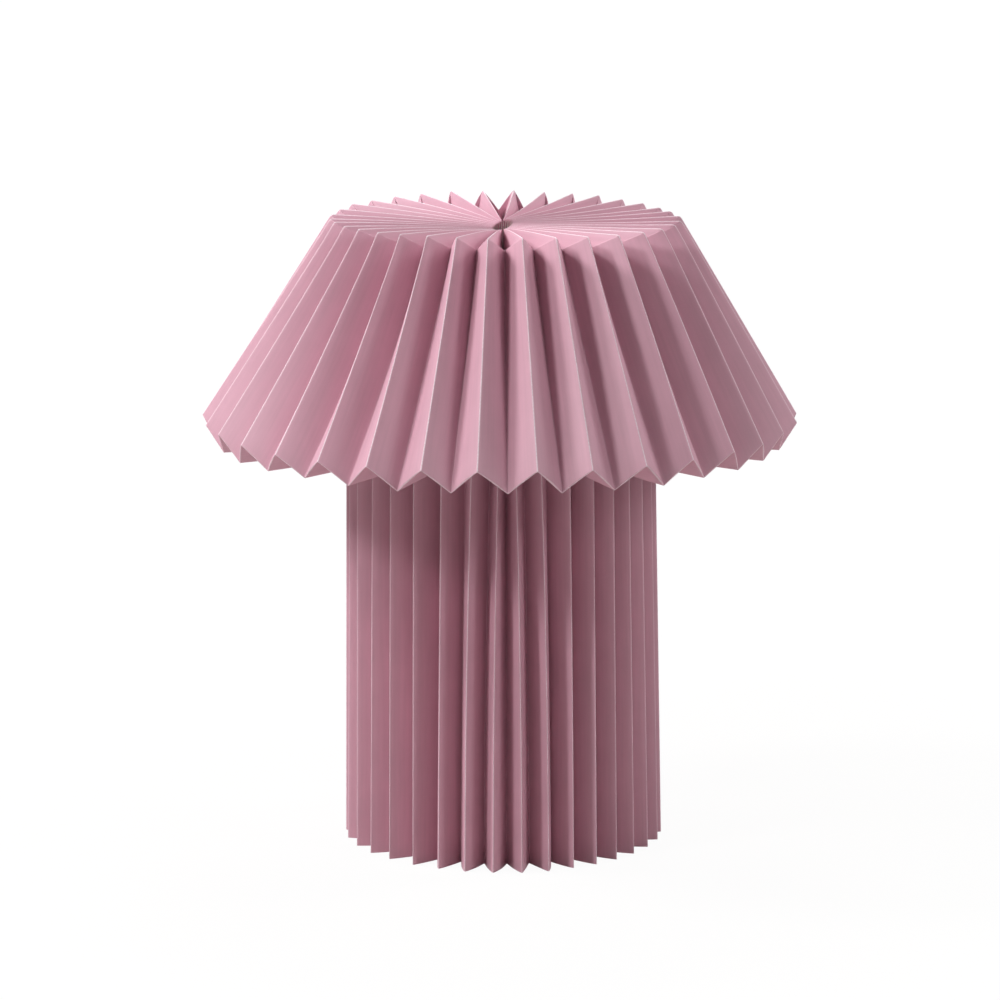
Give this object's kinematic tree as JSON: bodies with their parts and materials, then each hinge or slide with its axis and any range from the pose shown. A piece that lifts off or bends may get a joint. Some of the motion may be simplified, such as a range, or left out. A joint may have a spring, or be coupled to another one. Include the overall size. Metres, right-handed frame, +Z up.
{
  "type": "pleated paper table lamp",
  "caption": "Table lamp with a pleated paper mushroom shade, tucked at the shoulder, over a tall pleated paper sleeve that hides a weighted stand, lampholder and bulb.",
  "frame": {"origin": "on the table, at the middle of the lamp", "axes": "+Z up, -Y towards the front, +Y towards the cord inlet"},
  "size_m": [0.4572, 0.4584, 0.486],
  "materials": {
    "pink_paper": "matte",
    "thread": "matte",
    "white_steel": "satin",
    "iron": "rough",
    "felt": "matte",
    "rubber": "matte",
    "zinc_steel": "satin",
    "white_plastic": "satin",
    "porcelain": "matte",
    "brass": "bright",
    "nickel": "bright",
    "black_glass": "gloss",
    "bulb_plastic": "gloss",
    "opal": "satin"
  },
  "bodies": {
    "stand": {"base_shell": "white_steel", "base_weight": "iron", "base_felt": "felt", "cord_grommet": "rubber", "base_washer": "zinc_steel", "base_nut": "zinc_steel", "lamp_pipe": "zinc_steel", "stem_cover": "white_steel", "stem_bushes": "zinc_steel", "sleeve_spider": "white_steel", "shade_spider": "white_steel", "shade_clamp_ring": "white_plastic", "holder_cap": "white_plastic", "holder_nut": "zinc_steel", "holder_skirt": "white_plastic", "holder_insert": "porcelain", "terminal_screws": "zinc_steel", "screw_shell": "brass", "centre_contact": "brass"},
    "sleeve": {"sleeve_sheet_front": "pink_paper", "sleeve_sheet_right": "pink_paper", "sleeve_sheet_back": "pink_paper", "sleeve_sheet_left": "pink_paper", "sleeve_seam_strips": "pink_paper", "sleeve_ring": "white_steel"},
    "shade": {"shade_sheet_front": "pink_paper", "shade_sheet_right": "pink_paper", "shade_sheet_back": "pink_paper", "shade_sheet_left": "pink_paper", "shade_seam_strips": "pink_paper", "shade_ring": "white_steel", "shade_tie": "thread"},
    "bulb_tip": {"bulb_contact": "brass"},
    "bulb": {"bulb_insulator": "black_glass", "bulb_cap": "nickel", "bulb_collar": "bulb_plastic", "bulb_globe": "opal"}
  },
  "joints": [
    {"name": "shade_lift", "type": "slide", "parent": "stand", "child": "shade", "axis": [0, 0, 1], "range_m": [0, 0.18]},
    {"name": "sleeve_lift", "type": "slide", "parent": "stand", "child": "sleeve", "axis": [0, 0, 1], "range_m": [0, 0.09]},
    {"name": "bulb_rise", "type": "slide", "parent": "stand", "child": "bulb_tip", "axis": [0, 0, 1], "range_m": [0, 0.0109]},
    {"name": "bulb_turn", "type": "hinge", "parent": "bulb_tip", "child": "bulb", "pos_m": [0, 0, 0.33], "axis": [0, 0, 1], "range_deg": [0, 1080]}
  ],
  "couplings": [
    {"joint": "bulb_rise", "follows": "bulb_turn", "m_per_rad": 0.00057757}
  ]
}
